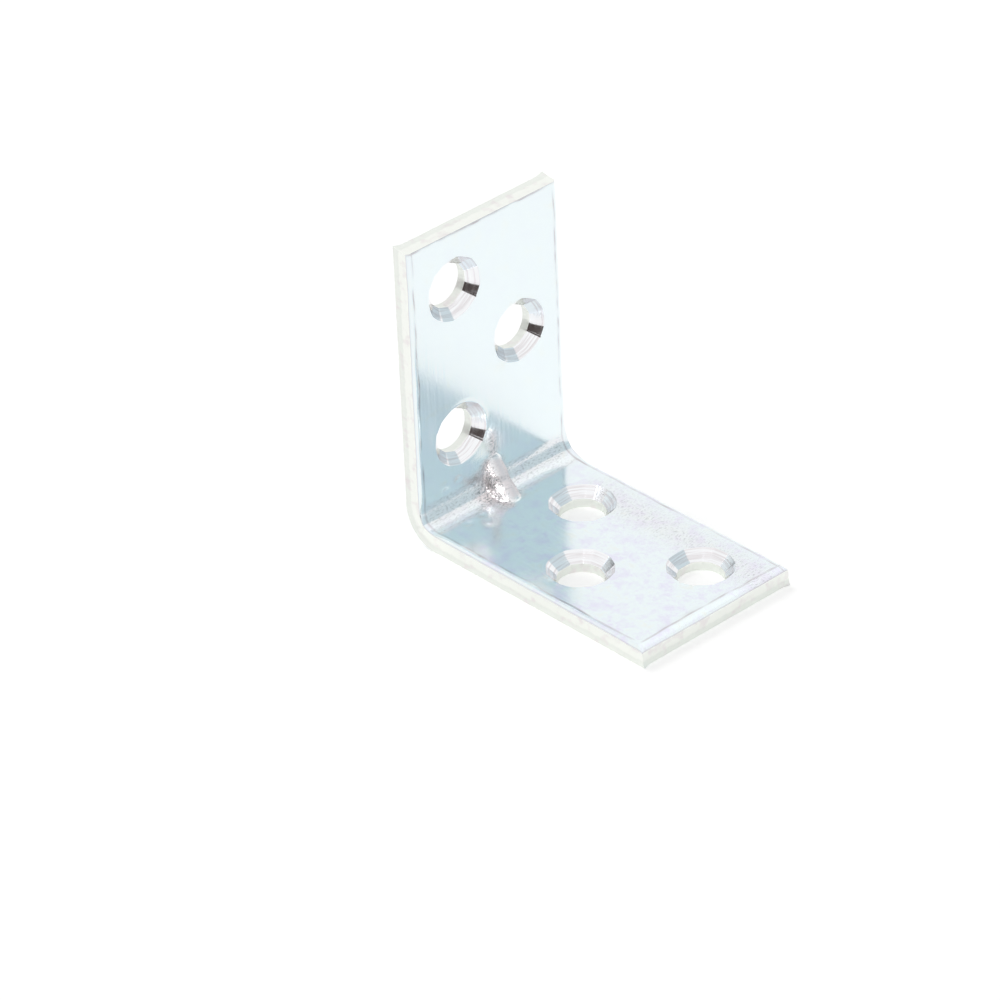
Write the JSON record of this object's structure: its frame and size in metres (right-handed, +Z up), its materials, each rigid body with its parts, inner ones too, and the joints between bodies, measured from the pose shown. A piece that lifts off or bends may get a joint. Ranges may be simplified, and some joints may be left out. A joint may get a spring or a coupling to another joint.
{
  "type": "corner brace bracket",
  "caption": "Pressed steel corner brace folded square from one strip, with staggered countersunk screw holes in both legs and a gusset rib across the fold.",
  "frame": {"origin": "the middle of the flat leg's back, which the bracket stands on; the planes of the two backs meet 20 mm from it along -X", "axes": "+X points along the flat leg to its free end, +Z up the standing leg, and Y across the strip"},
  "size_m": [0.04, 0.024, 0.04],
  "materials": {
    "zinc_plated_steel": "bright zinc plate with a pale blue passivate, smooth and half mirrored"
  },
  "bodies": {
    "root": {"corner_brace": "zinc_plated_steel"}
  },
  "joints": []
}
